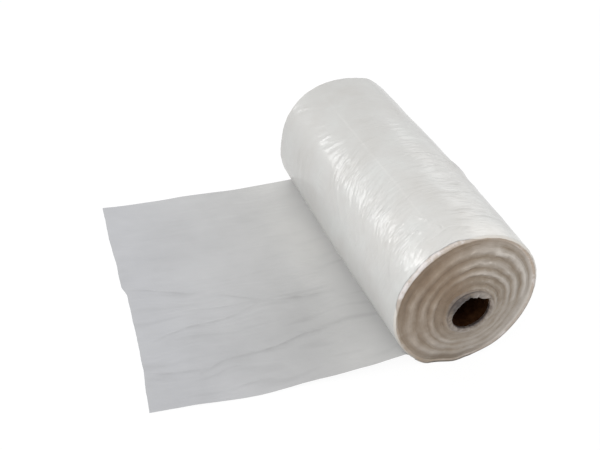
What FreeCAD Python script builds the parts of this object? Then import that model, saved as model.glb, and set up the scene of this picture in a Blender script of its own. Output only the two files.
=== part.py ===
import FreeCAD, Part
import math
import os
from types import SimpleNamespace

import Sketcher

# A roll of plastic bags lying on a flat surface: a web of film bags wound on a cardboard core,
# with the first bag pulled off from under the roll. The core's axis runs along Y, the roll's
# near end points to -Y and the pulled-off bag lies towards -X. The origin is on the resting
# surface, right under the core's axis at mid-length. All lengths are in millimetres.

driving_sizes = {
    "filmWidth": 305.0,        # a bag's width, and so the length of the roll
    "rollRadius": 73.5,        # outermost turn
    "rollHeight": 70.0,        # centre of the outermost turn: the soft roll sits on a flat spot
    "lipWidth": 2.5,           # the last few turns stand past the others as a thin lip
    "lipDepth": 2.0,
    "coreHeight": 65.5,        # the core has sunk a little below the outermost turn's centre
    "coreOuter": 22.0,         # radius of the cardboard tube, outside
    "coreWall": 3.0,
    "coreLength": 299.0,
    "coreRecess": 3.0,         # the core stops this far inside the innermost turns
    "creep": 11.5,             # how far the innermost turns have slid towards the near end
    "creepRadius": 58.0,       # the turns outside this radius have stayed level
    "bundleRound": 6.2,        # radius of the rounded edge of each bundle of turns
    "bagGauge": 0.5,           # two films and the air between them, lying loose
    "bagLift": 190.0,          # the bag is flat from its torn edge to here, from the core's axis
    "bagJoin": 40.0,           # and rises in one long bend to this place inside the roll
    "bagRise": 17.0,           # which is this high
    "tornNear": 293.5,         # the torn edge's distance from the core's axis, at its near end
    "tornMiddle": 276.5,       # where the torn edge runs level
    "tornFar": 269.5,          # and at its far end
    "tornKneeNear": 15.0,      # the level stretch ends this far before the middle of the roll
    "tornKneeFar": 65.0,       # and this far behind it
    "tornRoundNear": 1600.0,   # radii of the torn edge's three shallow waves
    "tornRoundMiddle": 350.0,
    "tornRoundFar": 420.0,
    "margin": 20.0,            # how far a cut runs past what it cuts
}
bundle_count = 5               # bundles of turns between the core and creepRadius

doc = FreeCAD.newDocument("BagRoll")
sheet = doc.addObject("Spreadsheet::Sheet", "sizes")
for row, (name, number) in enumerate(driving_sizes.items(), start=1):
    sheet.set(f"A{row}", name)
    sheet.set(f"B{row}", str(number))
    sheet.setAlias(f"B{row}", name)
doc.recompute()


class Size(float):
    """A length together with its formula over the sheet, which a sketch is bound to."""

    def __new__(cls, value, formula):
        size = float.__new__(cls, value)
        size.formula = formula
        return size

    def __add__(self, other):
        return Size(float(self) + float(other), f"({self.formula} + {formula_of(other)})")

    def __sub__(self, other):
        return Size(float(self) - float(other), f"({self.formula} - {formula_of(other)})")

    def __mul__(self, other):
        return Size(float(self) * float(other), f"({self.formula} * {formula_of(other)})")

    def __truediv__(self, other):
        return Size(float(self) / float(other), f"({self.formula} / {formula_of(other)})")

    def __neg__(self):
        return Size(-float(self), f"(-{self.formula})")


def formula_of(value):
    return value.formula if isinstance(value, Size) else repr(float(value))


s = SimpleNamespace(**{name: Size(number, f"sizes.{name}") for name, number in driving_sizes.items()})
half_width = s.filmWidth / 2
end_plane = half_width - s.lipDepth      # the level turns' ends, from mid-length


# ---- sketches -----------------------------------------------------------------------------

def new_body(name):
    body = doc.addObject("PartDesign::Body", name)
    body.Label = name
    return body


def new_sketch(body, name, role):
    """A sketch on one of the body's own origin planes: on YZ its axes are Y and Z, on XZ X and Z."""
    sketch = body.newObject("Sketcher::SketchObject", name)
    plane = [feature for feature in body.Origin.OriginFeatures if feature.Role == role][0]
    sketch.AttachmentSupport = (plane, [""])
    sketch.MapMode = "FlatFace"
    return sketch


def bind(sketch, constraint, value):
    index = sketch.addConstraint(constraint)
    if isinstance(value, Size):
        sketch.setExpression(f"Constraints[{index}]", value.formula)


def pin_point(sketch, geometry, point, across, up):
    """Fixes a point of a geometry (1 start, 2 end, 3 centre) at its distances from the origin."""
    bind(sketch, Sketcher.Constraint("DistanceX", -1, 1, geometry, point, float(across)), across)
    bind(sketch, Sketcher.Constraint("DistanceY", -1, 1, geometry, point, float(up)), up)


def add_arc(sketch, start, end, radius):
    """An arc that bulges to the right of the way from start to end, or to the left if radius < 0.

    Returns its number and which of its points are start and end: an arc runs anticlockwise.
    """
    swapped = radius < 0
    tail, head = (end, start) if swapped else (start, end)
    chord = head - tail
    reach = abs(float(radius))
    rise = math.sqrt(reach ** 2 - chord.Length ** 2 / 4)
    inward = FreeCAD.Vector(-chord.y, chord.x, 0).normalize()
    centre = tail + chord * 0.5 + inward * rise
    first = math.atan2(tail.y - centre.y, tail.x - centre.x)
    last = math.atan2(head.y - centre.y, head.x - centre.x)
    circle = Part.Circle(centre, FreeCAD.Vector(0, 0, 1), reach)
    arc = sketch.addGeometry(Part.ArcOfCircle(circle, first, last), False)
    size = -radius if swapped else radius
    bind(sketch, Sketcher.Constraint("Radius", arc, reach), size)
    return (arc, 2, 1) if swapped else (arc, 1, 2)


def outline(sketch, corners, arcs=None):
    """A closed outline, anticlockwise through the corners. arcs gives a side's radius by number."""
    arcs = arcs or {}
    places = [FreeCAD.Vector(float(across), float(up), 0) for across, up in corners]
    sides = []
    for side, start in enumerate(places):
        end = places[(side + 1) % len(places)]
        if side in arcs:
            sides.append(add_arc(sketch, start, end, arcs[side]))
        else:
            sides.append((sketch.addGeometry(Part.LineSegment(start, end), False), 1, 2))
    for side, (geometry, start, end) in enumerate(sides):
        following, its_start, _ = sides[(side + 1) % len(sides)]
        sketch.addConstraint(Sketcher.Constraint("Coincident", geometry, end, following, its_start))
        pin_point(sketch, geometry, start, *corners[side])


def axis_line(sketch, height):
    """A construction line along the sketch's first axis, to revolve about."""
    line = Part.LineSegment(
        FreeCAD.Vector(-float(half_width), float(height), 0),
        FreeCAD.Vector(float(half_width), float(height), 0),
    )
    axis = sketch.addGeometry(line, True)
    pin_point(sketch, axis, 1, -half_width, height)
    pin_point(sketch, axis, 2, half_width, height)


# ---- features -----------------------------------------------------------------------------

def revolve(body, kind, name, axis_height, corners, arcs=None):
    """A Revolution or a Groove of an outline about a line along Y at axis_height."""
    sketch = new_sketch(body, f"{name}_section", "YZ_Plane")
    axis_line(sketch, axis_height)
    outline(sketch, corners, arcs)
    feature = body.newObject(f"PartDesign::{kind}", name)
    feature.Profile = sketch
    feature.ReferenceAxis = (sketch, ["Axis0"])
    feature.Angle = 360.0
    return finish(feature)


def cut_through(body, sketch, name):
    feature = body.newObject("PartDesign::Pocket", name)
    feature.Profile = sketch
    feature.SideType = "Symmetric"
    feature.Type = "ThroughAll"
    return finish(feature)


def finish(feature):
    """Recomputes, and makes sure that what should add has added and what should cut has cut."""
    doc.recompute()
    base = feature.BaseFeature
    if base is not None:
        gained = feature.Shape.Volume - base.Shape.Volume
        cuts = feature.TypeId in ("PartDesign::Groove", "PartDesign::Pocket")
        if (gained >= 0) if cuts else (gained <= 0):
            raise RuntimeError(f"{feature.Name} changed the volume by {gained:.1f} mm3")
    return feature


# ---- the pieces ---------------------------------------------------------------------------

def bundle_edges(mid_length_side, away):
    """The corners between the bundles of turns, from the core outwards, at one end of the roll.

    mid_length_side is the level turns' end, and away is -1 at the near end and 1 at the far end.
    The turns have slid towards the near end, the innermost ones the most.
    """
    corners = []
    for step in range(bundle_count + 1):
        radius = s.coreOuter + (s.creepRadius - s.coreOuter) * (step / bundle_count)
        slid = s.creep * (1 - step / bundle_count)
        along = -(mid_length_side + slid) if away < 0 else mid_length_side - slid
        corners.append((along, s.coreHeight + radius))
    return corners


def make_core_tube():
    """The cardboard tube, whose ends are just inside the innermost turns."""
    body = new_body("core_tube")
    near_end = -(end_plane + s.creep - s.coreRecess)
    inner, outer = s.coreHeight + s.coreOuter - s.coreWall, s.coreHeight + s.coreOuter
    far_end = near_end + s.coreLength
    corners = [(near_end, inner), (far_end, inner), (far_end, outer), (near_end, outer)]
    revolve(body, "Revolution", "tube", s.coreHeight, corners)
    return body


def make_wound_bags():
    """All the turns of film as one soft solid, with its slid bundles and its flat spot."""
    body = new_body("wound_bags")
    lip_round = s.lipWidth * 0.625
    shoulder = half_width - s.lipWidth * 0.25    # an arc of lip_round rises this much to the end
    lip_inner, lip_outer = s.rollHeight + s.rollRadius - s.lipWidth, s.rollHeight + s.rollRadius
    level_turns = [
        (-end_plane, s.rollHeight),
        (end_plane, s.rollHeight),
        (end_plane, lip_inner),
        (shoulder, lip_inner),
        (shoulder, lip_outer),
        (-shoulder, lip_outer),
        (-shoulder, lip_inner),
        (-end_plane, lip_inner),
    ]
    lips = {3: lip_round, 5: lip_round}
    revolve(body, "Revolution", "level_turns", s.rollHeight, level_turns, lips)

    near = bundle_edges(end_plane, -1)
    rooted = -(end_plane - s.margin)
    crept = [(rooted, near[0][1]), (rooted, near[-1][1])] + near[::-1]
    rounds = {side: s.bundleRound for side in range(2, 2 + bundle_count)}
    revolve(body, "Revolution", "crept_turns", s.coreHeight, crept, rounds)

    far = bundle_edges(end_plane, 1)
    outside = half_width + s.margin
    dish = far + [(outside, far[-1][1]), (outside, far[0][1])]
    hollows = {side: -s.bundleRound for side in range(bundle_count)}
    revolve(body, "Groove", "far_dish", s.coreHeight, dish[::-1], reversed_sides(hollows, len(dish)))

    seat = new_sketch(body, "core_seat_section", "XZ_Plane")
    seat.addGeometry(Part.Circle(FreeCAD.Vector(0, float(s.coreHeight), 0),
                                 FreeCAD.Vector(0, 0, 1), float(s.coreOuter)), False)
    pin_point(seat, 0, 3, 0.0, s.coreHeight)
    bind(seat, Sketcher.Constraint("Radius", 0, float(s.coreOuter)), s.coreOuter)
    cut_through(body, seat, "core_seat")

    below = new_sketch(body, "flat_spot_section", "XZ_Plane")
    outline(below, [(-s.rollRadius, -s.margin), (s.rollRadius, -s.margin),
                    (s.rollRadius, 0.0), (-s.rollRadius, 0.0)])
    cut_through(body, below, "flat_spot")
    return body


def reversed_sides(arcs, count):
    """The sides' numbers when the same corners are listed the other way round."""
    return {(count - 2 - side) % count: radius for side, radius in arcs.items()}


def make_leading_bag():
    """The length of the first bag that lies pulled off, up to where it meets the roll."""
    body = new_body("leading_bag")
    run = s.bagLift - s.bagJoin
    bend = (run * run + s.bagRise * s.bagRise) / (s.bagRise * 2)
    profile = new_sketch(body, "bag_profile", "XZ_Plane")
    edge = -(s.tornNear + s.margin)
    corners = [
        (edge, 0.0),
        (-s.bagLift, 0.0),
        (-s.bagJoin, s.bagRise),
        (-s.bagJoin, s.bagRise + s.bagGauge),
        (-s.bagLift, s.bagGauge),
        (edge, s.bagGauge),
    ]
    outline(profile, corners, {1: bend, 3: -bend})
    pad = body.newObject("PartDesign::Pad", "bag_web")
    pad.Profile = profile
    pad.SideType = "Symmetric"
    pad.setExpression("Length", s.filmWidth.formula)
    finish(pad)

    roll = new_sketch(body, "roll_outline", "XZ_Plane")
    roll.addGeometry(Part.Circle(FreeCAD.Vector(0, float(s.rollHeight), 0),
                                 FreeCAD.Vector(0, 0, 1), float(s.rollRadius)), False)
    pin_point(roll, 0, 3, 0.0, s.rollHeight)
    bind(roll, Sketcher.Constraint("Radius", 0, float(s.rollRadius)), s.rollRadius)
    cut_through(body, roll, "roll_trim")

    beyond = -(s.tornNear + s.margin * 2)
    torn = new_sketch(body, "torn_edge_outline", "XY_Plane")
    corners = [
        (-s.tornFar, half_width),
        (beyond, half_width),
        (beyond, -half_width),
        (-s.tornNear, -half_width),
        (-s.tornMiddle, -s.tornKneeNear),
        (-s.tornMiddle, s.tornKneeFar),
    ]
    waves = {3: -s.tornRoundNear, 4: -s.tornRoundMiddle, 5: -s.tornRoundFar}
    outline(torn, corners, waves)
    cut_through(body, torn, "torn_edge")
    return body


pieces = [make_core_tube(), make_wound_bags(), make_leading_bag()]
doc.recompute()

for item in doc.Objects:
    if "Invalid" in item.State or "Error" in item.State:
        raise RuntimeError(f"{item.Name} failed: {item.State}")
for sketch in doc.findObjects("Sketcher::SketchObject"):
    if not sketch.FullyConstrained:
        raise RuntimeError(f"{sketch.Name} isn't fully constrained")
for piece in pieces:
    if piece.Shape.isNull() or not piece.Shape.isValid() or len(piece.Shape.Solids) != 1:
        raise RuntimeError(f"{piece.Label} isn't one valid solid")

os.makedirs("parts", exist_ok=True)
for piece in pieces:
    piece.Shape.exportStep(f"parts/{piece.Label}.step")
    box = piece.Shape.BoundBox
    print(f"{piece.Label}: {piece.Shape.Volume / 1000:.1f} cm3, X {box.XMin:.1f} to {box.XMax:.1f}, "
          f"Y {box.YMin:.1f} to {box.YMax:.1f}, Z {box.ZMin:.1f} to {box.ZMax:.1f}")
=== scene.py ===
import math
from types import SimpleNamespace

import bmesh
import bpy
import numpy as np
from mathutils import Matrix, Vector


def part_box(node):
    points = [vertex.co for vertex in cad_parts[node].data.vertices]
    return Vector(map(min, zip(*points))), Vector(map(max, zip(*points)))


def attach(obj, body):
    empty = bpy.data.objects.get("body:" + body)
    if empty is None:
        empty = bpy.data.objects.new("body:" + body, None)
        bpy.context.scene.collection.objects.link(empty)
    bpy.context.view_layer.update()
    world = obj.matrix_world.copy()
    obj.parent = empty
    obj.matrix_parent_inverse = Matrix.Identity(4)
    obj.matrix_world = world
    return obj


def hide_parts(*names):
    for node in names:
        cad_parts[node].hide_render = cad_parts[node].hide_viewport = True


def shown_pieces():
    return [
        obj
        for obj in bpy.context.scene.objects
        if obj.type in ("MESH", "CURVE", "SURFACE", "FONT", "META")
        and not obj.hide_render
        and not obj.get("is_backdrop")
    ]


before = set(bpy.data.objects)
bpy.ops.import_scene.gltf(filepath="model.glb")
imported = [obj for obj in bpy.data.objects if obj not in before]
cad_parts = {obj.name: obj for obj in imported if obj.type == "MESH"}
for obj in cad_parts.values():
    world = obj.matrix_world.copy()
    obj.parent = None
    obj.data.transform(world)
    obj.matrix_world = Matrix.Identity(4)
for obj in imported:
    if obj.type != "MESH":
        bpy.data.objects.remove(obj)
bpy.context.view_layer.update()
scene = bpy.context.scene
mm = 0.001

# places and sizes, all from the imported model
turnsLow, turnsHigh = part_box("wound_bags")
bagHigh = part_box("leading_bag")[1]
coreLow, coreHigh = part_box("core_tube")
rollRadius = (turnsHigh.x - turnsLow.x) / 2
rollHeight = turnsHigh.z - rollRadius
halfWidth = bagHigh.y
coreHeight = (coreHigh.z + coreLow.z) / 2
coreRadius = (coreHigh.x - coreLow.x) / 2
creep = -turnsLow.y - halfWidth
print("roll radius", round(rollRadius / mm, 1), "mm, turns slid out by", round(creep / mm, 1), "mm")


def setUpCamera():
    look = {
        "place": (-0.4620, -0.7384, 0.6242),
        "turn": -25.77,
        "drop": 34.35,
        "tilt": 8.64,
        "lens": 60,
        "sensor": 36,
    }
    data = bpy.data.cameras.new("camera")
    data.lens = look["lens"]
    data.sensor_width = look["sensor"]
    camera = bpy.data.objects.new("camera", data)
    scene.collection.objects.link(camera)
    swing = Matrix.Rotation(math.radians(look["turn"]), 4, "Z")
    pitch = Matrix.Rotation(math.radians(90 - look["drop"]), 4, "X")
    roll = Matrix.Rotation(math.radians(look["tilt"]), 4, "Z")
    camera.matrix_world = Matrix.Translation(look["place"]) @ swing @ pitch @ roll
    scene.camera = camera


def waveNoise(across, along, seed):
    # smooth noise from about -1 to 1, one swell for each whole step, so a divisor is a wave's length
    cells = 256
    turn = np.random.default_rng(seed).uniform(0, 2 * math.pi, (cells, cells))
    column = np.floor(across).astype(int)
    row = np.floor(along).astype(int)
    sideways = across - column
    onward = along - row

    def corner(right, up):
        angle = turn[(column + right) % cells, (row + up) % cells]
        return np.cos(angle) * (sideways - right) + np.sin(angle) * (onward - up)

    fadeSideways = sideways ** 3 * (sideways * (sideways * 6 - 15) + 10)
    fadeOnward = onward ** 3 * (onward * (onward * 6 - 15) + 10)
    low = corner(0, 0) + fadeSideways * (corner(1, 0) - corner(0, 0))
    high = corner(0, 1) + fadeSideways * (corner(1, 1) - corner(0, 1))
    return 1.6 * (low + fadeOnward * (high - low))


def step(value, low, high):
    # 0 at low and 1 at high, or falling where low is the larger
    share = np.clip((value - low) / (high - low), 0, 1)
    return share * share * (3 - 2 * share)


def bump(value, middle, reach):
    return np.exp(-((value - middle) / reach) ** 2)


def patches(value, rows):
    # each row is a strength, a middle and a reach
    return sum(strength * bump(value, middle, reach) for strength, middle, reach in rows)


def foldLine(across, along, start, end, width, height):
    # a sharp raised crease from start to end, dying out at both, given in mm
    startX, startY = start[0] * mm, start[1] * mm
    runX, runY = end[0] * mm - startX, end[1] * mm - startY
    length = math.hypot(runX, runY)
    onward = ((across - startX) * runX + (along - startY) * runY) / length
    aside = ((across - startX) * runY - (along - startY) * runX) / length
    share = np.clip(onward / length, 0, 1)
    beyond = np.abs(onward - share * length)
    away = np.hypot(aside, beyond)
    taper = np.sin(np.pi * np.clip(share, 0.06, 0.94)) ** 0.6
    steeper = 1 - 0.25 * np.tanh(aside / (width * mm))
    return height * mm * taper * np.exp(-away / (width * mm)) * steeper


def toObject(shape, name):
    mesh = bpy.data.meshes.new(name)
    shape.to_mesh(mesh)
    shape.free()
    mesh.shade_smooth()
    piece = bpy.data.objects.new(name, mesh)
    scene.collection.objects.link(piece)
    return piece


def sheetMesh(name, acrossParts, alongParts):
    # a flat grid from (0, 0) to (1, 1) with its own UV map
    grid = bmesh.new()
    grid.loops.layers.uv.new("film")
    bmesh.ops.create_grid(grid, x_segments=acrossParts, y_segments=alongParts, size=0.5, calc_uvs=True)
    bmesh.ops.translate(grid, verts=grid.verts, vec=(0.5, 0.5, 0))
    return toObject(grid, name)


def spinProfile(name, profile, steps, closed):
    # profile rows are radius, place along the roll, and parts up to the next row
    ring = bmesh.new()
    corners = [ring.verts.new((radius, along, 0)) for radius, along, parts in profile]
    ends = corners[1:] + corners[:1] if closed else corners[1:]
    for first, second in zip(corners, ends):
        ring.edges.new((first, second))
    ring.edges.ensure_lookup_table()
    for edge, (radius, along, parts) in zip(ring.edges[:], profile):
        if parts > 1:
            bmesh.ops.subdivide_edges(ring, edges=[edge], cuts=parts - 1)
    # a quarter of the steps is spun and each is cut in four, which is much quicker
    outline = ring.verts[:] + ring.edges[:]
    bmesh.ops.spin(ring, geom=outline, axis=(0, 1, 0), cent=(0, 0, 0), steps=steps // 4,
                   angle=2 * math.pi, use_merge=True)
    hoops = [edge for edge in ring.edges if abs(edge.verts[0].co.cross(edge.verts[1].co).y) > 1e-7]
    bmesh.ops.subdivide_edges(ring, edges=hoops, cuts=3, use_grid_fill=True)
    half = 4 * math.pi / steps
    for vert in ring.verts:  # the cut hoops are straight, so they go back to a circle
        turned = math.atan2(vert.co.z, vert.co.x) % (2 * half) - half
        stretch = math.cos(turned) / math.cos(half)
        vert.co.x *= stretch
        vert.co.z *= stretch
    bmesh.ops.recalc_face_normals(ring, faces=ring.faces)
    return toObject(ring, name)


def readPoints(piece):
    flat = np.empty(len(piece.data.vertices) * 3)
    piece.data.vertices.foreach_get("co", flat)
    return flat.reshape(-1, 3)


def writePoints(piece, x, y, z):
    piece.data.vertices.foreach_set("co", np.stack([x, y, z], axis=1).ravel())
    piece.data.update()


def writeUV(piece, across, along):
    # the UV map holds metres of film, so a pattern keeps its true scale
    corners = np.empty(len(piece.data.loops), dtype=int)
    piece.data.loops.foreach_get("vertex_index", corners)
    places = np.stack([across[corners], along[corners]], axis=1)
    piece.data.uv_layers[0].data.foreach_set("uv", places.ravel())


def writeValue(piece, name, values):
    layer = piece.data.attributes.new(name, "FLOAT", "POINT")
    layer.data.foreach_set("value", values)


setUpCamera()
print("camera ready")

seam = {"middle": 119.3, "skew": 10}  # degrees on the roll, and degrees for each metre along it
peelAngle = 228  # degrees on the roll where the first bag leaves it
relief = {
    "swell": 0.7 * mm,
    "pulls": 0.22 * mm,
    "pleats": 0.48 * mm,
    "pleatsLeft": (0.060, 0.024),  # middle and reach in metres round from the top
    "pleatsRight": (-0.010, 0.040),
    "crumple": 0.85 * mm,
    "seamFold": 0.05 * mm,
    "belly": 1.3 * mm,
    "taper": 0.8 * mm,
    "slump": 2.0 * mm,
    "curl": 2.3 * mm,
    "outOfRound": [(1.5, -18, 8), (-2.9, -60, 24), (-1.7, 90, 16)],  # mm, degrees from the top, reach
    "nearBulge": [(4.2, 270, 12), (2.2, 238, 16), (0.9, 308, 14)],  # mm, degrees on the roll, reach
    "farBulge": [(4.3, 132, 30)],
    "bulgeFrom": 0.110,  # metres from the roll's middle
    "folds": [  # start and end as mm round from the top and along, then width and height in mm
        ((-75, -26), (-28, -8), 5.0, 1.4),
        ((74, 75), (52, 67), 1.6, 0.35),
        ((64, 62), (40, 42), 1.8, 0.45),
        ((36, 58), (26, 40), 1.6, 0.6),
        ((8, -26), (-34, -25), 1.8, 0.7),
        ((8, -10), (-36, -19), 2.0, 0.6),
        ((-5, -46), (-25, -52), 1.8, 0.6),
        ((-6, -65), (-36, -65), 2.0, 0.6),
        ((41, -97), (32, -118), 1.8, 1.6),
        ((32, -118), (28, -131), 1.6, 1.8),
        ((28, -131), (43, -133), 1.5, 1.4),
        ((58, -110), (42, -120), 1.8, 1.6),
        ((67, -133), (57, -118), 1.8, 1.5),
        ((64, -137), (51, -128), 1.6, 1.5),
        ((27, -129), (5, -135), 1.8, 0.8),
        ((72, -108), (95, -128), 2.4, 0.6),
    ],
}


def arcFromTop(degrees):
    # metres of film from the top of the roll, towards -X
    return rollRadius * np.radians(degrees - 90)


def crinkleLean(around, along):
    # place across the crinkles, which slant differently over the roll
    aside = around - 0.058
    far = step(along, 0.02, 0.07)
    near = 0.20 * aside * bump(aside, 0, 0.04) + np.clip(aside, 0, 0.045) ** 2 / 0.06
    away = -0.95 * aside * bump(aside, 0, 0.045)
    lean = along + near * (1 - far) + away * far - 0.10 * (around + 0.03) * bump(around, -0.030, 0.035)
    lean = lean + 6 * mm * waveNoise(around / 0.050, along / 0.040, 3)
    return lean + 1.4 * mm * waveNoise(around / 0.013, along / 0.011, 4)


def rollRelief(around, along):
    # how far the film stands out from a true roll, for places from arcFromTop
    lean = crinkleLean(around, along)
    swell = relief["swell"] * waveNoise(around / 0.11, along / 0.07, 5)
    pulls = relief["pulls"] * waveNoise(around / 0.055, lean / 0.011, 6)
    # pleats are strongest in two bands beside the top, and towards the near end
    left = 1.3 * bump(around, *relief["pleatsLeft"]) * (1 - 0.87 * step(along, 0.0, 0.05))
    right = 1.25 * bump(around, *relief["pleatsRight"]) * (1 - 0.8 * step(along, -0.02, 0.05))
    behind = 0.5 * step(-around, 0.055, 0.085) + 0.35 * step(around, 0.13, 0.16)
    patch = np.clip(1.0 + 0.5 * waveNoise(around / 0.040, along / 0.030, 7), 0.65, 1.4)
    long = left + 0.08 - 0.05 * step(along, 0.06, 0.11)
    long = long * waveNoise(around / 0.024, lean / 0.0042, 8)
    wide = (1.15 * right + behind) * waveNoise(around / 0.042, lean / 0.0046, 13)
    short = left + 0.5 * right + behind
    short = short * (0.5 - np.abs(waveNoise(around / 0.011 + 7, lean / 0.0038, 9)))
    pleats = relief["pleats"] * patch * (long + wide + 0.7 * short)
    crumpled = step(-along, 0.118, 0.142) * bump(around, 0.042, 0.046)
    ridges = 0.5 - np.abs(waveNoise(around / 0.011, along / 0.006 + around / 0.02, 14))
    crumple = relief["crumple"] * crumpled * ridges
    belly = relief["belly"] * (1 - (along / halfWidth) ** 2) - relief["taper"] * step(along, 0.07, 0.15)
    fromSeam = np.abs(around - arcFromTop(seam["middle"] + seam["skew"] * along))
    fold = relief["seamFold"] * np.exp(-fromSeam / (0.8 * mm)) * step(along, -0.135, -0.115)
    for row in relief["folds"]:
        fold = fold + foldLine(around, along, *row)
    turned = np.degrees(around / rollRadius)
    slump = relief["slump"] * bump(turned, -203, 11)
    slump = slump + mm * patches(turned, relief["outOfRound"]) * step(along, 0.028, 0.098)
    ends = 1 - 0.5 * step(np.abs(along), 0.13, 0.152)
    fromPeel = np.minimum(peelAngle - 90 - turned, turned + 450 - peelAngle)
    calm = 0.15 + 0.85 * step(fromPeel, 2, 30)
    return (swell + (pulls + pleats) * ends + crumple + belly + fold) * calm + slump


def endBulge(degrees, along):
    # the outer turns stand out where the roll's weight presses on them, and at the far end's upper side
    toward = degrees % 360
    near = patches(toward, relief["nearBulge"]) * step(-along, relief["bulgeFrom"], halfWidth)
    far = patches(toward, relief["farBulge"]) * step(along, relief["bulgeFrom"], halfWidth)
    return mm * (near - far)


skin = {
    "firstParts": (200, 480),  # faces round the roll and along it
    "secondParts": (150, 620),
    "pastPeel": (9, 6),  # degrees that each stretch goes on past the peel line, inside the roll's underside
    "overhang": 1.0 * mm,  # how far the film reaches past the roll's ends, and how raggedly
    "ragged": 0.5 * mm,
    "shortBy": 4.6 * mm,  # how far it stops short over part of the near end, and how raggedly
    "shortRagged": 0.7 * mm,
    "tuck": 0.18 * mm,  # where it stops short its edge lies close
    "pinch": 0.25 * mm,  # elsewhere it is pinched over the roll's edge
    "farShade": 0.57,  # painted shade, as loss of brightness for each metre towards the far end
}


def wrapOnRoll(piece, degrees, flatAlong, lift):
    # the film turns in over the rounded edge of the roll at both ends
    curl = relief["curl"]
    straight = halfWidth - curl
    bend = np.maximum(np.abs(flatAlong) - straight, 0) / curl
    inward = curl * (1 - np.cos(bend))
    along = np.sign(flatAlong) * np.minimum(np.abs(flatAlong), straight + curl * np.sin(bend))
    radius = rollRadius + lift - inward + rollRelief(arcFromTop(degrees), along)
    x = radius * np.cos(np.radians(degrees))
    z = rollHeight + radius * np.sin(np.radians(degrees))
    writePoints(piece, x, along - endBulge(degrees, along), np.maximum(z, 0.2 * mm + lift + 0.3 * inward))


def makeSkin(name, endDegrees, parts):
    # one stretch of the outermost turn, from the perforation round to endDegrees
    piece = sheetMesh(name, *parts)
    share, width = readPoints(piece).T[:2]
    plainAlong = (width * 2 - 1) * halfWidth
    seamDegrees = seam["middle"] + seam["skew"] * plainAlong
    seamDegrees = seamDegrees + 0.25 * waveNoise(plainAlong / 0.02, plainAlong * 0, 12)
    degrees = seamDegrees + share * (endDegrees - seamDegrees)
    ragged = skin["overhang"] + skin["ragged"] * waveNoise(degrees / 23, np.sign(plainAlong), 11)
    short = step(degrees, 92, 112) * (1 - step(degrees, 166, 184)) * (plainAlong < 0)
    short = short * (skin["shortBy"] + skin["shortRagged"] * waveNoise(degrees / 9, degrees * 0, 15))
    along = plainAlong * (1 + (ragged - short) / halfWidth)
    tucked = step(-plainAlong, halfWidth - 2 * mm, halfWidth) * step(short, 0.5 * mm, 3 * mm)
    pinch = skin["pinch"] * waveNoise(degrees / 4.5, along / 0.006, 16) * step(np.abs(along), 0.145, 0.1505)
    wrapOnRoll(piece, degrees, along, pinch * (1 - tucked) * (degrees > 0) - skin["tuck"] * tucked)
    writeUV(piece, rollRadius * np.radians(degrees - seamDegrees), along)
    # masks for the film's material, and its painted light and shade
    # painted shade: the rim turns darker on the roll's lower half
    writeValue(piece, "low", 1 - step(np.sin(np.radians(degrees)), -0.9, -0.1))
    # painted highlight where the rounded near edge catches the light at the top
    lit = bump(degrees, 78, 24) * step(-along, 0.122, 0.149)
    rim = step(np.abs(along), 0.1503, 0.1522)
    writeValue(piece, "creamAndHighlight", np.maximum(0.25 * lit, 0.9 * rim))
    # painted light and shade: darker towards the far end and round the back of the roll, a painted highlight
    # near the top of the near end and a stronger one in the bright band there, and a darker patch on the
    # left near the near end
    lightLevel = 1 - skin["farShade"] * along - 0.09 * (1 - step(degrees, 52, 80)) + 0.10 * lit
    lightLevel = lightLevel + 0.14 * bump(degrees, 139, 7) * bump(along, -0.136, 0.016)
    lightLevel = lightLevel - 0.06 * bump(degrees, 165, 14) * step(-along, 0.09, 0.13)
    writeValue(piece, "lightLevel", lightLevel)
    # painted shadow: a thin grey line along the edge where the film stops short of the near end
    hemShadow = step(-plainAlong, halfWidth - 1.3 * mm, halfWidth - 0.5 * mm) * step(short, 1 * mm, 3 * mm)
    writeValue(piece, "hemShadow", hemShadow * (0.55 + 0.5 * waveNoise(degrees / 4, degrees * 0, 17)))
    writeValue(piece, "seam", step(along, -0.128, -0.108) * (1 - 0.8 * step(along, 0.06, 0.13)))
    return piece


firstWrap = makeSkin("firstWrap", peelAngle - 360 + skin["pastPeel"][0], skin["firstParts"])
secondBag = makeSkin("secondBag", peelAngle + skin["pastPeel"][1], skin["secondParts"])
print("outer turns made")

turns = {
    "ringSteps": 360,
    "nearRows": 128,
    "farRows": 66,
    "lipStep": 0.35 * mm,
    "lipWidth": 4.5 * mm,
    "recess": (0.8 * mm, 1.5 * mm),  # everywhere, and what the upper left adds
    "valleys": [22.3, 28.8, 35.7, 43.2, 52.6, 63.6],  # mm from the axis, between bundles of turns
    "crests": [1.15, 0.9, 1.0, 0.4, 0.65],  # strength of each bundle, from the outside in
    "rise": 1.5 * mm,
    "clear": [(0.88, 64, 54), (0.50, 205, 46)],  # where bundles stand out: strength, degrees, reach
    "farther": [(1.8, 105, 26), (2.6, 212, 26)],  # where outer valleys lie farther out: mm, degrees, reach
    "rumple": 0.30 * mm,
    # where the ends' painted shade turns them brown: strength, degrees and reach
    "brownShade": [(1.0, 135, 36), (0.6, 200, 42)],
    # where the painted shade line inside the lip is strongest: strength, degrees and reach
    "lipCreaseShade": [(1.0, 125, 50), (0.7, 40, 40), (0.5, 220, 40)],
    "brightness": [  # painted light and shade: strength, degrees and reach, then the shares inwards from 0 to its full strength
        (0.20, 80, 32, 0.30, 0.10),
        (-0.45, 266, 24, 0.30, 0.10),
        (-0.07, 150, 35, 0.15, 0.30),
        (-0.14, 138, 30, 0.85, 0.95),
        (-0.09, 162, 24, 0.45, 0.20),
    ],
}


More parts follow.
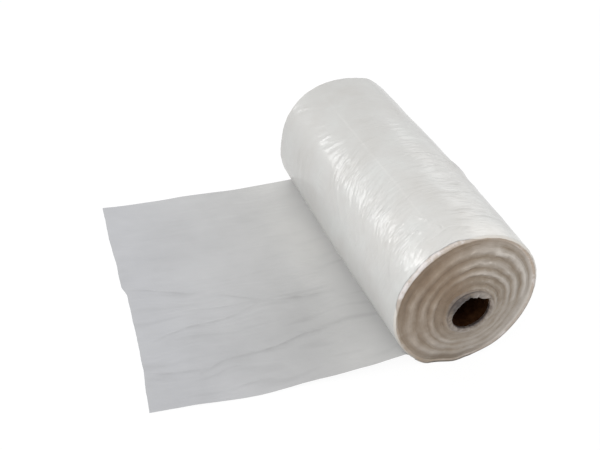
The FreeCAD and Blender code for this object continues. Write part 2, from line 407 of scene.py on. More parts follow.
def turnsProfile(lipOuter, faceOuter, faceInner, farFace):
    # near end, outer wall, far end and inner wall as one closed ring
    seat = coreRadius + 0.1 * mm
    curl = relief["curl"]
    small = curl - turns["lipStep"]
    lip = []
    for part in range(9):
        bend = math.radians(180 * part / 8)
        lip.append((rollRadius - curl + small * math.cos(bend), halfWidth - curl + small * math.sin(bend)))
    wall = [(lipOuter - 2.8 * mm, 0.134), (lipOuter - 0.3 * mm, 0.143)]  # behind the outermost turn
    return [
        (wall[0][0], -wall[0][1], 1),
        (wall[1][0], -wall[1][1], 8),
        *((radius, -along, 1) for radius, along in lip[:-1]),
        (lip[-1][0], -lip[-1][1], 2),
        (faceOuter, -farFace, turns["nearRows"]),
        (faceInner, -farFace, 6),
        (seat, -0.1440, 3),
        (seat, 0.1350, 6),
        (faceInner, farFace, turns["farRows"]),
        (faceOuter, farFace, 1),
        *((radius, along, 1) for radius, along in lip[::-2]),
        (*wall[1], 1),
        (*wall[0], 2),
    ]


def findBundles(radius, angle, share):
    # bundles of turns that slid past each other, which wander as they go round
    cosine, sine = np.cos(angle), np.sin(angle)
    toward = np.degrees(angle) % 360
    clear = 0.12 + patches(toward, turns["clear"])
    drift = waveNoise(cosine * 0.9 + 5 + share * 0.8, sine * 0.9 + 9, 21)
    corner = waveNoise(cosine * 2.4 + share * 1.2, sine * 2.4 + 4, 22)
    squiggle = waveNoise(cosine * 6 + share * 6, sine * 6, 27)
    squiggle = squiggle + 0.5 * waveNoise(cosine * 12, sine * 12 + share * 13, 28)
    valleys = np.array(turns["valleys"]) * mm
    shifted = radius - mm * patches(toward, turns["farther"]) * (1 - step(share, 0.2, 0.5))
    place = np.interp(shifted, valleys, np.arange(len(valleys), 0, -1))
    place = place + (0.16 * drift + 0.12 * corner + 0.10 * clear * squiggle) * step(share, 0.02, 0.25)
    whole = np.floor(place)
    within = place - whole
    clear = clear * np.clip(0.85 + 0.7 * waveNoise(cosine * 1.5 + whole * 3.1, sine * 1.5, 38), 0.25, 1.4)
    sharp = bump(within, 0.50, 0.13) - bump(within, 0.0, 0.11) - bump(within, 1.0, 0.11)
    crisp = np.clip(0.6 + 0.9 * waveNoise(cosine * 2.2 + whole * 5.3, sine * 2.2, 42), 0.05, 1.3)
    return SimpleNamespace(
        whole=whole,
        within=within,
        clear=clear,
        drift=drift,
        strand=waveNoise(share * 48, cosine * 4, 35) + waveNoise(share * 48 + 40, sine * 4, 36),
        broad=step(within, 0.0, 0.50) * (1 - step(within, 0.58, 1.0)),
        sharp=sharp * crisp,
        bold=np.interp(whole - 1, np.arange(len(turns["crests"])), turns["crests"]),
    )


def raiseBundles(bundles, angle, share):
    # how far the bundles and their loose strands stand out of an end
    cosine, sine = np.cos(angle), np.sin(angle)
    crest = bundles.bold * (bundles.broad + 0.25 * bundles.sharp)
    tall = 1.0 + 0.3 * np.sin(bundles.whole * 2.4 + 0.7)
    rumple = turns["rumple"] * waveNoise(cosine * 5 + share * 6, sine * 5 + share * 3, 23)
    fine = waveNoise(cosine * 14 + share * 17, sine * 14 - share * 11, 24)
    rumple = rumple + 0.26 * mm * bundles.clear * fine
    rumple = rumple + 0.20 * mm * (0.3 + 0.7 * bundles.clear) * bundles.strand
    raised = (turns["rise"] * tall * bundles.clear * crest + rumple) * step(share, 0.0, 0.06)
    return raised * (1 - 0.6 * step(share, 0.93, 1.0))


def colorTurns(piece, bundles, radius, angle, share, onFace, near, faceOuter):
    # masks for the ends' material, and their painted light and shade
    cosine, sine = np.cos(angle), np.sin(angle)
    toward = np.degrees(angle) % 360
    turned = (toward + 180) % 360 - 180
    # painted highlight: glints on the bundles' crests near the top
    sparkle = step(waveNoise(cosine * 9 + bundles.whole * 3, sine * 9 + share * 9, 26), 0.05, 0.7)
    glint = bump(bundles.within, 0.52, 0.14) * sparkle * bump(toward, 80, 34) * step(share, 0.1, 0.2)
    glint = glint * (1 - 0.6 * step(share, 0.3, 0.6))
    # painted light on the bundles' crests and painted shade in the valleys between them and in the recess
    # just inside the lip
    band = (bundles.bold * (0.8 * bundles.broad + 0.45 * bundles.sharp) - 0.38) * step(share, 0.03, 0.12)
    band = band - 0.15 * (1 - step(share, 0.03, 0.12))
    shown = 0.10 + 0.90 * np.minimum(bundles.clear, 1)
    shade = 0.46 + (0.66 * band + 0.09 * bundles.strand) * shown + 0.4 * glint
    # painted light: lighter near the lip on the right, and towards the lower right
    sideward = step(np.cos(angle + 0.1), 0.35, 0.85)
    shade = shade + sideward * (0.20 * step(share, 0.30, 0.02) + 0.26 * step(share, 0.10, 0.0))
    shade = shade + 0.38 * bump(turned, -28, 40) * step(share, 0.20, 0.0)
    # darker towards the core
    shade = shade - 0.12 * step(share, 0.62, 0.80)
    for strength, middle, reach, start, full in turns["brightness"]:
        shade = shade + strength * bump(toward, middle, reach) * step(share, start, full)
    # the painted light and shade is kept as the crest value
    writeValue(piece, "crest", np.where(onFace, shade, 0.5))
    # painted shade: a brown tint on the upper left and the left, and under the lip at the top
    brownShade = patches(toward, turns["brownShade"]) + 0.5 * bump(toward, 100, 60) * step(share, 0.10, 0.01)
    writeValue(piece, "brownShade", np.where(onFace, brownShade, 0.0))
    # painted shade: an orange-brown line in the crease just inside the near end's lip, broken into spots
    spotty = 0.75 + 0.6 * waveNoise(cosine * 9, sine * 9, 37)
    creaseShade = patches(toward, turns["lipCreaseShade"]) * near * bump(radius, rollRadius - 3.3 * mm, 0.9 * mm) * spotty
    writeValue(piece, "lipCreaseShade", np.clip(creaseShade, 0, 1))
    writeValue(piece, "pallor", 0.18 * bump(toward, 143, 22) - 0.05)
    writeValue(piece, "inward", np.where(onFace, share, np.where(radius > faceOuter, 0.0, 1.0)))
    lipInner = faceOuter + mm * (0.3 - 1.6 * bump(turned, 32, 64) - 0.8 * bump(turned, -45, 30))
    # the lip's pale colour gives way at the bottom, as painted shade
    lip = step(radius, lipInner, lipInner + 1.4 * mm) * (1 - 0.9 * bump(toward, 252, 45))
    writeValue(piece, "lip", lip)


def makeTurns():
    lipOuter = rollRadius - turns["lipStep"]
    faceOuter = rollRadius - turns["lipWidth"]
    faceInner = coreRadius + 0.3 * mm
    farFace = halfWidth - sum(turns["recess"])
    profile = turnsProfile(lipOuter, faceOuter, faceInner, farFace)
    piece = spinProfile("woundTurns", profile, turns["ringSteps"], closed=True)
    x, along, z = readPoints(piece).T
    radius = np.hypot(x, z)
    angle = np.arctan2(z, x)
    toward = np.degrees(angle) % 360
    share = np.clip((faceOuter - radius) / (faceOuter - faceInner), 0, 1)  # 0 at the lip, 1 at the core
    near = along < 0
    atEnd = np.abs(along) > 0.1435
    onFace = atEnd & (radius < faceOuter + 0.01 * mm)
    bundles = findBundles(radius, angle, share)
    raised = raiseBundles(bundles, angle, share)
    slide = creep * share ** 0.9
    nearFace = halfWidth - turns["recess"][0] - turns["recess"][1] * bump(toward, 130, 62)
    faceAlong = np.where(near, -nearFace - slide - raised, farFace - slide + 0.8 * raised)
    onInnerLip = (radius > faceOuter) & (radius < rollRadius - relief["curl"]) & near
    along = np.where(onFace, faceAlong, np.where(onInnerLip, np.minimum(along, -nearFace), along))
    # the outer turns follow the skin's relief, and the lip's inner edge is uneven
    degrees = (np.degrees(angle) + 360 - peelAngle) % 360 + peelAngle - 360
    outside = rollRelief(arcFromTop(degrees), np.clip(along, -halfWidth, halfWidth))
    moved = radius + outside * step(radius, faceOuter - 1.5 * mm, lipOuter - 1.5 * mm)
    wander = bundles.drift * step(share, 0.0, 0.2) * (1 - step(share, 0.9, 1.0)) * onFace
    uneven = waveNoise(np.cos(angle) * 7, np.sin(angle) * 7, 39)
    uneven = uneven + 0.5 * waveNoise(np.cos(angle) * 17, np.sin(angle) * 17, 40)
    uneven = uneven * bump(radius, faceOuter + 0.2 * mm, 1.4 * mm) * (np.abs(along) > 0.1435)
    moved = moved + 0.3 * mm * wander + 0.4 * mm * uneven
    # the core hangs a little below the outermost turn's centre
    layer = np.clip(rollRadius - radius, 0, 1) / (rollRadius - coreRadius)
    sag = (rollHeight - coreHeight) * np.clip(layer, 0, 1)
    z = np.maximum(rollHeight - sag + moved * np.sin(angle), 0.4 * mm + layer * coreLow.z)
    along = along - endBulge(toward, along) * (1 - step(share, 0.0, 0.8))
    writePoints(piece, moved * np.cos(angle), along, z)
    colorTurns(piece, bundles, radius, angle, share, onFace, near, faceOuter)
    return piece


woundTurns = makeTurns()

mouth = {
    "steps": 300,
    "profile": [  # radius in mm, mm out from the proudest turn, and parts up to the next row
        (27.5, -3.8, 5),
        (25.2, -1.7, 5),
        (23.8, -0.4, 5),
        (22.4, 0.2, 6),
        (20.6, 0.5, 6),
        (19.2, 0.3, 4),
        (18.5, -0.6, 4),
        (18.4, -1.8, 3),
        (18.8, -3.2, 2),
    ],
    "edge": [(2.0, 32, 20), (-2.7, 145, 36), (0.7, 215, 36)],  # mm outwards, degrees, reach
    "flapIn": 2.6,  # mm that the torn flap at the top hangs in
    "crumple": [(0.9, 75, 45), (0.5, 190, 45)],
}


def makeMouthFilm():
    # crumpled film at the mouth of the hole, over the end of the core
    profile = [(radius * mm, turnsLow.y - out * mm, parts) for radius, out, parts in mouth["profile"]]
    piece = spinProfile("mouthFilm", profile, mouth["steps"], closed=False)
    x, along, z = readPoints(piece).T
    radius = np.hypot(x, z)
    out = turnsLow.y - along
    cosine, sine = x / radius, z / radius
    toward = np.degrees(np.arctan2(z, x)) % 360
    inward = 1 - step(radius, 20 * mm, 25.5 * mm)
    flap = step(toward, 42, 56) * (1 - step(toward, 86, 103))
    edge = patches(toward, mouth["edge"]) - mouth["flapIn"] * flap
    edge = edge + 0.4 * waveNoise(cosine * 2.3, sine * 2.3, 31) + 0.2 * waveNoise(cosine * 6, sine * 6, 32)
    hung = (1 - step(radius, 19 * mm, 23.2 * mm)) * step(out, -5.5 * mm, -2.2 * mm)
    wave = waveNoise(cosine * 5 + 3, sine * 5 + radius * 150, 33)
    wave = wave + 0.5 * waveNoise(cosine * 11, sine * 11 + radius * 300, 34)
    groove = bump(radius, 23.4 * mm, 0.6 * mm) * bump(toward, 125, 80) * (0.8 + 0.4 * wave)
    ripple = 0.7 * inward * (0.45 + patches(toward, mouth["crumple"])) * wave
    along = along + mm * (1.1 * groove + 0.8 * flap * hung - ripple)
    radius = radius + mm * edge * hung
    writePoints(piece, radius * cosine, along, coreHeight + radius * sine)
    # lighter on the torn flap, on the lower left of the hole and on the ripples' crests: painted light over
    # the film's own paleness
    pale = inward * (0.05 + 0.50 * flap + 0.30 * bump(toward, 248, 30) + 0.3 * wave)
    wall = (1 - step(radius, 18.2 * mm, 20.8 * mm)) * (0.5 + 0.5 * (out < 0)) * (1 - flap)
    shaded = bump(toward, 140, 34) * (0.45 + 0.65 * (1 - step(radius, 18.5 * mm, 26 * mm)))
    # painted shade: darker in the ripples' hollows, on the upper left, in the groove and on the hole's inner
    # wall
    mouthShade = inward * (0.20 - 0.3 * wave) + shaded + 0.9 * groove + 0.8 * wall
    writeValue(piece, "pale", np.clip(pale, 0, 1))
    writeValue(piece, "mouthShade", np.clip(mouthShade, 0, 1))
    return piece


mouthFilm = makeMouthFilm()
print("ends of the turns made")

tail = {
    "parts": (240, 300),
    "first": -0.040,  # where it starts under the roll
    "lift": 0.25 * mm,
    "torn": [  # mm along the roll, and mm from the core's axis
        (-152.5, -293.5),
        (-105, -286.7),
        (-50, -281.2),
        (2, -277),
        (14, -280.2),
        (55, -276.2),
        (95, -274.6),
        (152.5, -269.5),
    ],
    "wander": 0.7 * mm,
    "hump": 15.5 * mm,
    "flatFrom": 0.193,
    "creases": [  # start and end in mm, then width and height in mm
        ((-274, 5), (-213, -5), 1.4, 1.1),
        ((-195, -12), (-150, -40), 1.4, 0.9),
        ((-230, -29), (-156, -37), 1.2, 0.8),
        ((-269, -66), (-157, -42), 1.4, 1.2),
        ((-160, -40), (-80, -48), 2.6, 1.4),
        ((-283, -105), (-232, -112), 1.2, 1.3),
        ((-238, -115), (-165, -101), 1.5, 1.5),
        ((-170, -102), (-93, -91), 1.8, 1.5),
        ((-246, -122), (-200, -118), 1.2, 0.8),
        ((-215, -140), (-170, -136), 1.3, 0.9),
    ],
    "nearWide": (2.3, 2.6, -0.213, 0.035),  # mm wider everywhere, mm more, and the middle and reach of that
    "farWide": (1.2, 2.2, -0.170, 0.050),
    "farRaised": (1.6 * mm, -0.180, 0.050),
}


def tornEdge(along):
    places, reach = np.array(tail["torn"]).T * mm
    wander = waveNoise(along / 0.028, along * 0, 51) + 0.35 * waveNoise(along / 0.007, along * 0, 52)
    return np.interp(along, places, reach) + tail["wander"] * wander


def tailHeight(x):
    # film follows the roll's underside, bends off it and sinks to the floor
    under = rollHeight - np.sqrt(np.maximum((rollRadius + 0.4 * mm) ** 2 - np.minimum(-x, 0.07) ** 2, 0))
    fall = np.clip((tail["flatFrom"] + x) / (tail["flatFrom"] - 0.051), 0, 1.4)
    slope = tail["hump"] * fall ** 1.4
    soft = 5 * mm
    blend = np.clip(0.5 + 0.5 * (slope - under) / soft, 0, 1)
    return slope + (under - slope) * blend - soft * blend * (1 - blend) * 0.5


def tailRelief(x, along):
    # bumps in metres, and how deep in a crease each place is
    swell = 0.9 * mm * waveNoise(x / 0.07, along / 0.055, 41)
    swell = swell + 0.35 * mm * waveNoise(x / 0.03, along / 0.014, 42)
    lean = along + 6 * mm * waveNoise(x / 0.06, along / 0.05, 43)
    creased = 0.30 + 0.70 * step(-along, -0.03, 0.02) + 0.4 * step(x, -0.17, -0.11)
    streaks = 0.20 * mm * creased * (1 - 2 * np.abs(waveNoise(x / 0.045, lean / 0.006, 44)))
    broken = 0.75 + 0.5 * waveNoise(x / 0.016, along / 0.03, 46)
    folds = sum(broken * foldLine(x, lean, *row) for row in tail["creases"])
    dents = np.clip(waveNoise(x / 0.050, lean / 0.0085, 47) - 0.25, 0, 1) * creased
    return swell + streaks + folds, folds / (1.5 * mm) + 0.55 * dents


def widened(x, row):
    everywhere, more, middle, reach = row
    return everywhere + more * bump(x, middle, reach)


def makeTail():
    piece = sheetMesh("looseBag", *tail["parts"])
    share, width = readPoints(piece).T[:2]
    along = (width * 2 - 1) * (halfWidth - 0.2 * mm)
    x = tail["first"] + share * (tornEdge(along) - tail["first"])
    free = step(-x, 0.052, 0.09)  # 0 under the roll, 1 where the film lies free
    atSide = step(np.abs(along), 0.13, 0.1525)
    edgeWave = 0.5 * mm * waveNoise(x / 0.05, np.sign(along) * 3, 45) * atSide
    wide = np.where(along < 0, widened(x, tail["nearWide"]), widened(x, tail["farWide"]))
    spread = wide * mm * (along / halfWidth) ** 3
    bumps, creases = tailRelief(x, along)
    strength, middle, reach = tail["farRaised"]
    z = tailHeight(x) + free * (1.1 * mm + bumps) + tail["lift"]
    z = z + strength * bump(x, middle, reach) * step(along, 0.10, 0.1525)
    writePoints(piece, x, along + (edgeWave + spread) * free, np.maximum(z, 0.15 * mm + tail["lift"]))
    writeUV(piece, x, along)
    # painted light: lighter beside the roll, against the roll's shadow
    byRoll = bump(x, -0.080, 0.028) * (0.5 + 0.12 * step(along, -0.09, 0.04))
    lower = bump(along, -0.085, 0.055) * step(x, -0.24, -0.13)
    # painted shade in the creases and dents, darker in a patch towards the near side and over the near half,
    # and the painted light beside the roll
    tone = 0.37 - 0.24 * np.clip(creases, 0, 1) + 0.27 * byRoll - 0.11 * lower
    writeValue(piece, "tone", tone - 0.04 * step(-along, 0.02, 0.09))
    return piece


looseBag = makeTail()
print("pulled-off bag made")


def addNode(tree, kind, settings=None, values=None):
    # each value is a plain number or colour, or another node's output
    node = tree.nodes.new(kind)
    for name, value in (settings or {}).items():
        setattr(node, name, value)
    for name, value in (values or {}).items():
        if isinstance(value, bpy.types.NodeSocket):
            tree.links.new(value, node.inputs[name])
        else:
            node.inputs[name].default_value = value
    return node


def addMath(tree, operation, *values):
    return addNode(tree, "ShaderNodeMath", {"operation": operation}, dict(enumerate(values))).outputs[0]


def addVector(tree, operation, values):
    return addNode(tree, "ShaderNodeVectorMath", {"operation": operation}, values).outputs[0]


def addRange(tree, value, ends, results=(0, 1), kind="LINEAR"):
    values = {
        "Value": value,
        "From Min": ends[0],
        "From Max": ends[1],
        "To Min": results[0],
        "To Max": results[1],
    }
    return addNode(tree, "ShaderNodeMapRange", {"interpolation_type": kind}, values).outputs[0]


def addNoise(tree, place, scale, detail, roughness=0.5):
    values = {"Vector": place, "Scale": scale, "Detail": detail, "Roughness": roughness}
    return addNode(tree, "ShaderNodeTexNoise", {}, values)


def readValue(tree, name):
    return addNode(tree, "ShaderNodeAttribute", {"attribute_name": name}).outputs["Fac"]


def mixColors(tree, factor, first, second, blend="MIX"):
    settings = {"data_type": "RGBA", "blend_type": blend}
    values = {"Factor": factor, "A": first, "B": second}
    return addNode(tree, "ShaderNodeMix", settings, values).outputs["Result"]


def addRamp(tree, value, stops):
    ramp = addNode(tree, "ShaderNodeValToRGB", {}, {"Fac": value})
    elements = ramp.color_ramp.elements
    while len(elements) < len(stops):
        elements.new(0.5)
    for element, (place, color) in zip(elements, stops):
        element.position = place
        element.color = (*color, 1)
    return ramp.outputs["Color"]


def addBump(tree, height, strength, distance, normal=None):
    values = {"Height": height, "Strength": strength, "Distance": distance}
    if normal is not None:
        values["Normal"] = normal
    return addNode(tree, "ShaderNodeBump", {}, values).outputs[0]


def newMaterial(name, finish):
    material = bpy.data.materials.new(name)
    material.use_nodes = True
    shader = material.node_tree.nodes["Principled BSDF"]
    for socket, value in finish.items():
        shader.inputs[socket].default_value = value
    return material, material.node_tree


def finishMaterial(material, color, normal, roughness=None):
    links = material.node_tree.links
    shader = material.node_tree.nodes["Principled BSDF"]
    links.new(color, shader.inputs["Base Color"])
    links.new(normal, shader.inputs["Normal"])
    if roughness is not None:
        links.new(roughness, shader.inputs["Roughness"])
    return material


def makeCrinkleGroup():
    # long thin crinkles in stretched film, in metres of film
    group = bpy.data.node_groups.new("filmCrinkle", "ShaderNodeTree")
    sockets = group.interface
    sockets.new_socket(name="Place", in_out="INPUT", socket_type="NodeSocketVector")
    for name, value in (("Length", 0.02), ("Width", 0.003), ("Lean", 0.006)):
        number = sockets.new_socket(name=name, in_out="INPUT", socket_type="NodeSocketFloat")
        number.default_value = value
    for name in ("Height", "Patch"):
        sockets.new_socket(name=name, in_out="OUTPUT", socket_type="NodeSocketFloat")
    given = addNode(group, "NodeGroupInput").outputs
    warp = addNoise(group, given["Place"], 28, 2).outputs["Color"]
    shift = addVector(group, "SUBTRACT", {0: warp, 1: (0.5, 0.5, 0.5)})
    grow = addVector(group, "SCALE", {0: shift, "Scale": given["Lean"]})
    moved = addVector(group, "ADD", {0: given["Place"], 1: grow})
    split = addNode(group, "ShaderNodeSeparateXYZ", {}, {0: moved}).outputs
    stretched = {
        "X": addMath(group, "DIVIDE", split["X"], given["Length"]),
        "Y": addMath(group, "DIVIDE", split["Y"], given["Width"]),
    }
    joined = addNode(group, "ShaderNodeCombineXYZ", {}, stretched).outputs[0]
    ridges = addNoise(group, joined, 1, 3, 0.55)
    ridges.noise_type = "RIDGED_MULTIFRACTAL"
    ridges.normalize = True
    patch = addNoise(group, given["Place"], 22, 2)
    addNode(group, "NodeGroupOutput", {}, {"Height": ridges.outputs["Fac"], "Patch": patch.outputs["Fac"]})
    return group


crinkleGroup = makeCrinkleGroup()


def addCrinkles(tree, place, length, width, lean):
    values = {"Place": place, "Length": length, "Width": width, "Lean": lean}
    return addNode(tree, "ShaderNodeGroup", {"node_tree": crinkleGroup}, values).outputs


def makeWoundFilm():
    look = {
        "finish": {"IOR": 1.48, "Coat Weight": 0.5, "Coat Roughness": 0.15},
        "roughness": (0.36, 0.56),
        "tones": [(0.3, (0.62, 0.608, 0.582)), (0.5, (0.655, 0.65, 0.63)), (0.7, (0.685, 0.692, 0.672))],
        "seam": (0.86, 0.85, 0.82, 1),
        "seamWidth": (0.2 * mm, 1.7 * mm),
        "rim": (0.88, 0.83, 0.76, 1),
        "rimShadedBelow": (0.44, 0.37, 0.30, 1),
        "hemShadow": (0.36, 0.345, 0.34, 1),
        "crinkles": (0.22 * mm, 0.06 * mm),  # depths of the coarse and the fine ones
    }
    material, tree = newMaterial("woundFilm", look["finish"])
    place = addNode(tree, "ShaderNodeUVMap", {"uv_map": "film"}).outputs[0]
    coarse = addCrinkles(tree, place, 0.016, 0.0032, 0.006)
    fine = addCrinkles(tree, place, 0.006, 0.0014, 0.004)
    cloud = addNoise(tree, place, 18, 3, 0.6).outputs["Fac"]
    tone = addRamp(tree, cloud, look["tones"])
    # the film's tone scaled by its painted light and shade
    color = addVector(tree, "SCALE", {0: tone, "Scale": readValue(tree, "lightLevel")})
    # the perforation shows as a thin pale line, broken where the film is taut
    around = addNode(tree, "ShaderNodeSeparateXYZ", {}, {0: place}).outputs["X"]
    line = addRange(tree, addMath(tree, "ABSOLUTE", around), look["seamWidth"], (0.26, 0.0), "SMOOTHSTEP")
    broken = addMath(tree, "MULTIPLY", line, coarse["Patch"])
    seamLine = addMath(tree, "MULTIPLY", broken, readValue(tree, "seam"))
    color = mixColors(tree, seamLine, color, look["seam"])
    # the rim's colour, darker on the lower half as painted shade
    rim = mixColors(tree, readValue(tree, "low"), look["rim"], look["rimShadedBelow"])
    # the rims' creamy colour, and the painted highlight near the top of the near end
    color = mixColors(tree, readValue(tree, "creamAndHighlight"), color, rim)
    color = mixColors(tree, readValue(tree, "hemShadow"), color, look["hemShadow"])
    coarseBump = addBump(tree, coarse["Height"], 1, look["crinkles"][0])
    fineBump = addBump(tree, fine["Height"], 1, look["crinkles"][1], coarseBump)
    roughness = addRange(tree, coarse["Patch"], (0, 1), look["roughness"])
    return finishMaterial(material, color, fineBump, roughness)


def makeEndFilm():
    look = {
        "finish": {"IOR": 1.48, "Coat Weight": 0.15, "Coat Roughness": 0.2, "Roughness": 0.36},
        "tones": [
            (0.0, (0.22, 0.165, 0.11)),
            (0.35, (0.345, 0.28, 0.215)),
            (0.6, (0.465, 0.405, 0.345)),
            (1.0, (0.71, 0.65, 0.585)),
        ],
        "brownShadeTint": (0.74, 0.64, 0.54, 1),
        "lip": (0.62, 0.54, 0.47, 1),
        "lipSpots": (0.86, 0.81, 0.79, 1),
        "lipCreaseShade": (0.45, 0.315, 0.185, 1),
        "rings": 75,
        "ringDepth": 0.35 * mm,
    }
    material, tree = newMaterial("endFilm", look["finish"])
    place = addNode(tree, "ShaderNodeTexCoord").outputs["Object"]
    cloud = addNoise(tree, place, 90, 4, 0.6).outputs["Fac"]
    # the ends' tones follow their painted light and shade
    crest = addMath(tree, "SUBTRACT", readValue(tree, "crest"), 0.3)
    color = addRamp(tree, addMath(tree, "MULTIPLY_ADD", cloud, 0.6, crest), look["tones"])
    # browner where painted shade falls
    color = mixColors(tree, readValue(tree, "brownShade"), color, look["brownShadeTint"], "MULTIPLY")
    lifted = addMath(tree, "ADD", cloud, readValue(tree, "pallor"))
    lip = mixColors(tree, addRange(tree, lifted, (0.46, 0.62)), look["lip"], look["lipSpots"])
    color = mixColors(tree, readValue(tree, "lip"), color, lip)
    # the painted shade line inside the lip
    color = mixColors(tree, readValue(tree, "lipCreaseShade"), color, look["lipCreaseShade"])
    # the film's edges are fine rings that follow the turns
    rings = addMath(tree, "MULTIPLY", readValue(tree, "inward"), look["rings"])
    broad = addVector(tree, "SCALE", {0: place, "Scale": 25})
    layers = addNoise(tree, addVector(tree, "ADD", {0: broad, 1: rings}), 1, 2, 0.6).outputs["Fac"]
    return finishMaterial(material, color, addBump(tree, layers, 0.9, look["ringDepth"]))


def makeCrumpledFilm():
    look = {
        "finish": {"IOR": 1.48, "Coat Weight": 0.1, "Coat Roughness": 0.12, "Roughness": 0.36},
        "tones": [(0.35, (0.22, 0.17, 0.125)), (0.65, (0.37, 0.30, 0.24))],
        "pale": (0.56, 0.51, 0.48, 1),
        "mouthShade": (0.062, 0.047, 0.042, 1),
        "bump": 0.4 * mm,
    }
    material, tree = newMaterial("crumpledFilm", look["finish"])
    place = addNode(tree, "ShaderNodeTexCoord").outputs["Object"]
    cloud = addNoise(tree, place, 170, 4, 0.6).outputs["Fac"]
    color = addRamp(tree, cloud, look["tones"])
    # lighter film, partly painted light, then painted shade
    for name in ("pale", "mouthShade"):
        color = mixColors(tree, readValue(tree, name), color, look[name])
    return finishMaterial(material, color, addBump(tree, cloud, 0.8, look["bump"]))


def makeLooseFilm():
    look = {
        "finish": {"IOR": 1.48, "Coat Weight": 0.2, "Coat Roughness": 0.12, "Roughness": 0.3, "Alpha": 0.85},
        "tones": [(0.25, (0.31, 0.31, 0.315)), (0.6, (0.478, 0.480, 0.488)), (1.0, (0.64, 0.64, 0.635))],
        "tornTint": (0.985, 0.995, 1.03, 1),
        "rollTint": (1.01, 1.0, 0.965, 1),
        "tintFrom": (-0.26, -0.10),  # places between which one tint turns into the other
        "crinkles": 0.12 * mm,
    }
    material, tree = newMaterial("looseFilm", look["finish"])
    place = addNode(tree, "ShaderNodeUVMap", {"uv_map": "film"}).outputs[0]
    cloud = addNoise(tree, place, 12, 3, 0.6).outputs["Fac"]
    # the film's tone carries painted light and shade
    tone = addMath(tree, "MULTIPLY_ADD", cloud, 0.4, readValue(tree, "tone"))
    away = addNode(tree, "ShaderNodeSeparateXYZ", {}, {0: place}).outputs["X"]
    tint = mixColors(tree, addRange(tree, away, look["tintFrom"]), look["tornTint"], look["rollTint"])
    color = mixColors(tree, 1, addRamp(tree, tone, look["tones"]), tint, "MULTIPLY")
    crinkles = addCrinkles(tree, place, 0.03, 0.006, 0.010)
    return finishMaterial(material, color, addBump(tree, crinkles["Height"], 1, look["crinkles"]))


def makeCardboard():
    look = {
        "finish": {"Roughness": 0.9, "Specular IOR Level": 0.02},
        # the core's own brown, darkened nearly to black as painted shade for the inside of the bore
        "tones": [(0.3, (0.018, 0.006, 0.002)), (0.7, (0.052, 0.022, 0.009))],
        "fibres": 0.1 * mm,
    }
    material, tree = newMaterial("cardboard", look["finish"])
    place = addNode(tree, "ShaderNodeTexCoord").outputs["Object"]
    fibre = addNoise(tree, place, 160, 5).outputs["Fac"]
    color = addRamp(tree, fibre, look["tones"])
    return finishMaterial(material, color, addBump(tree, fibre, 0.5, look["fibres"]))


woundFilm = makeWoundFilm()
endFilm = makeEndFilm()
crumpledFilm = makeCrumpledFilm()
looseFilm = makeLooseFilm()
cardboard = makeCardboard()
for piece, material in (
    (firstWrap, woundFilm),
    (secondBag, woundFilm),
    (woundTurns, endFilm),
    (mouthFilm, crumpledFilm),
    (looseBag, looseFilm),
):
    piece.data.materials.append(material)
coreNode = bpy.data.objects["core_tube"]
for slot in coreNode.material_slots:
    slot.material = cardboard
print("materials ready")

for piece, node, slotName in (
    (firstWrap, "wound_bags", "wound_film"),
    (secondBag, "wound_bags", "wound_film"),
    (woundTurns, "wound_bags", "wound_film"),
    (mouthFilm, "wound_bags", "wound_film"),
    (looseBag, "leading_bag", "loose_film"),
):
    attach(piece, "root")
    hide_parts(node)

studio = {
    "floorSize": 6,
    "floorColor": (0.8, 0.8, 0.8, 1),
    "floorGlow": 1.08,
    "floorWhite": 0.85,  # share of the glow in what the camera sees of the floor, so that a shadow stays
    "ambient": 0.5,
    "aim": (-0.05, 0, 0.09),
    "lamps": [  # name, place, width, height and watts
        ("backLeft", (-3.45, 3.25, 1.78), 1.5, 2.1, 58),
        ("backRight", (3.80, 2.90, 1.35), 1.3, 1.8, 6),
        ("highRight", (2.68, 2.60, 3.02), 2.0, 1.9, 24),
        ("overhead", (-1.0, -1.0, 1.95), 1.9, 1.9, 21),
    ],
}


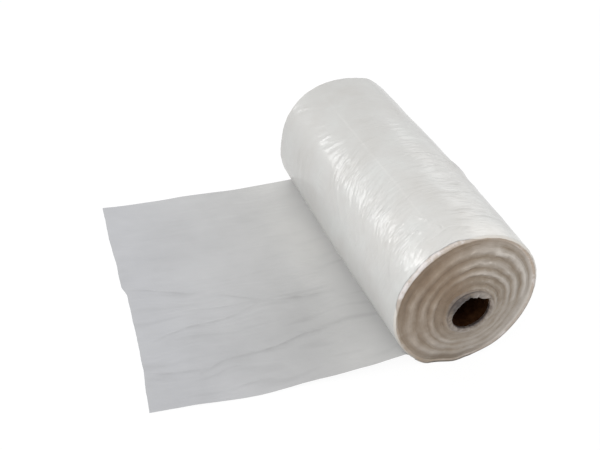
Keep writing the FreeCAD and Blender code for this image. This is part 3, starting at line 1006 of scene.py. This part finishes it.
def seenDirectly(tree):
    # 1 for what the camera sees, straight, mirrored or through something clear
    path = addNode(tree, "ShaderNodeLightPath").outputs
    seen = addMath(tree, "MAXIMUM", path["Is Camera Ray"], path["Is Glossy Ray"])
    return addMath(tree, "MAXIMUM", seen, path["Is Transmission Ray"])


def makeFloor():
    # pale floor that reads white to the camera and keeps a faint shadow
    grid = bmesh.new()
    bmesh.ops.create_grid(grid, x_segments=1, y_segments=1, size=studio["floorSize"])
    piece = toObject(grid, "floor")
    material, tree = newMaterial("paleFloor", {"Base Color": studio["floorColor"], "Roughness": 0.9})
    portion = addMath(tree, "MULTIPLY", seenDirectly(tree), studio["floorWhite"])
    white = {"Color": (1, 1, 1, 1), "Strength": studio["floorGlow"]}
    glow = addNode(tree, "ShaderNodeEmission", {}, white).outputs[0]
    matt = tree.nodes["Principled BSDF"].outputs[0]
    mix = addNode(tree, "ShaderNodeMixShader", {}, {"Fac": portion, 1: matt, 2: glow})
    tree.links.new(mix.outputs[0], tree.nodes["Material Output"].inputs["Surface"])
    piece.data.materials.append(material)
    piece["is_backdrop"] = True


def makeWorld():
    # soft light from all round, which the camera and reflections see as white
    world = bpy.data.worlds.new("studio")
    scene.world = world
    world.use_nodes = True
    tree = world.node_tree
    background = tree.nodes["Background"]
    background.inputs["Color"].default_value = (1, 1, 1, 1)
    lightLevel = addRange(tree, seenDirectly(tree), (0, 1), (studio["ambient"], 1.0))
    tree.links.new(lightLevel, background.inputs["Strength"])


def addLamp(name, place, width, height, watts):
    data = bpy.data.lights.new(name, "AREA")
    data.shape = "RECTANGLE"
    data.size = width
    data.size_y = height
    data.energy = watts
    lamp = bpy.data.objects.new(name, data)
    lamp.location = place
    lamp.rotation_euler = (Vector(studio["aim"]) - Vector(place)).to_track_quat("-Z", "Y").to_euler()
    scene.collection.objects.link(lamp)


makeFloor()
makeWorld()
for row in studio["lamps"]:
    addLamp(*row)
scene.view_settings.view_transform = "Standard"
print("stage and light ready")

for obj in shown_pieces():
    if obj.type == "MESH":
        obj.data.calc_loop_triangles()
        print(obj.name, len(obj.data.loop_triangles), "triangles")
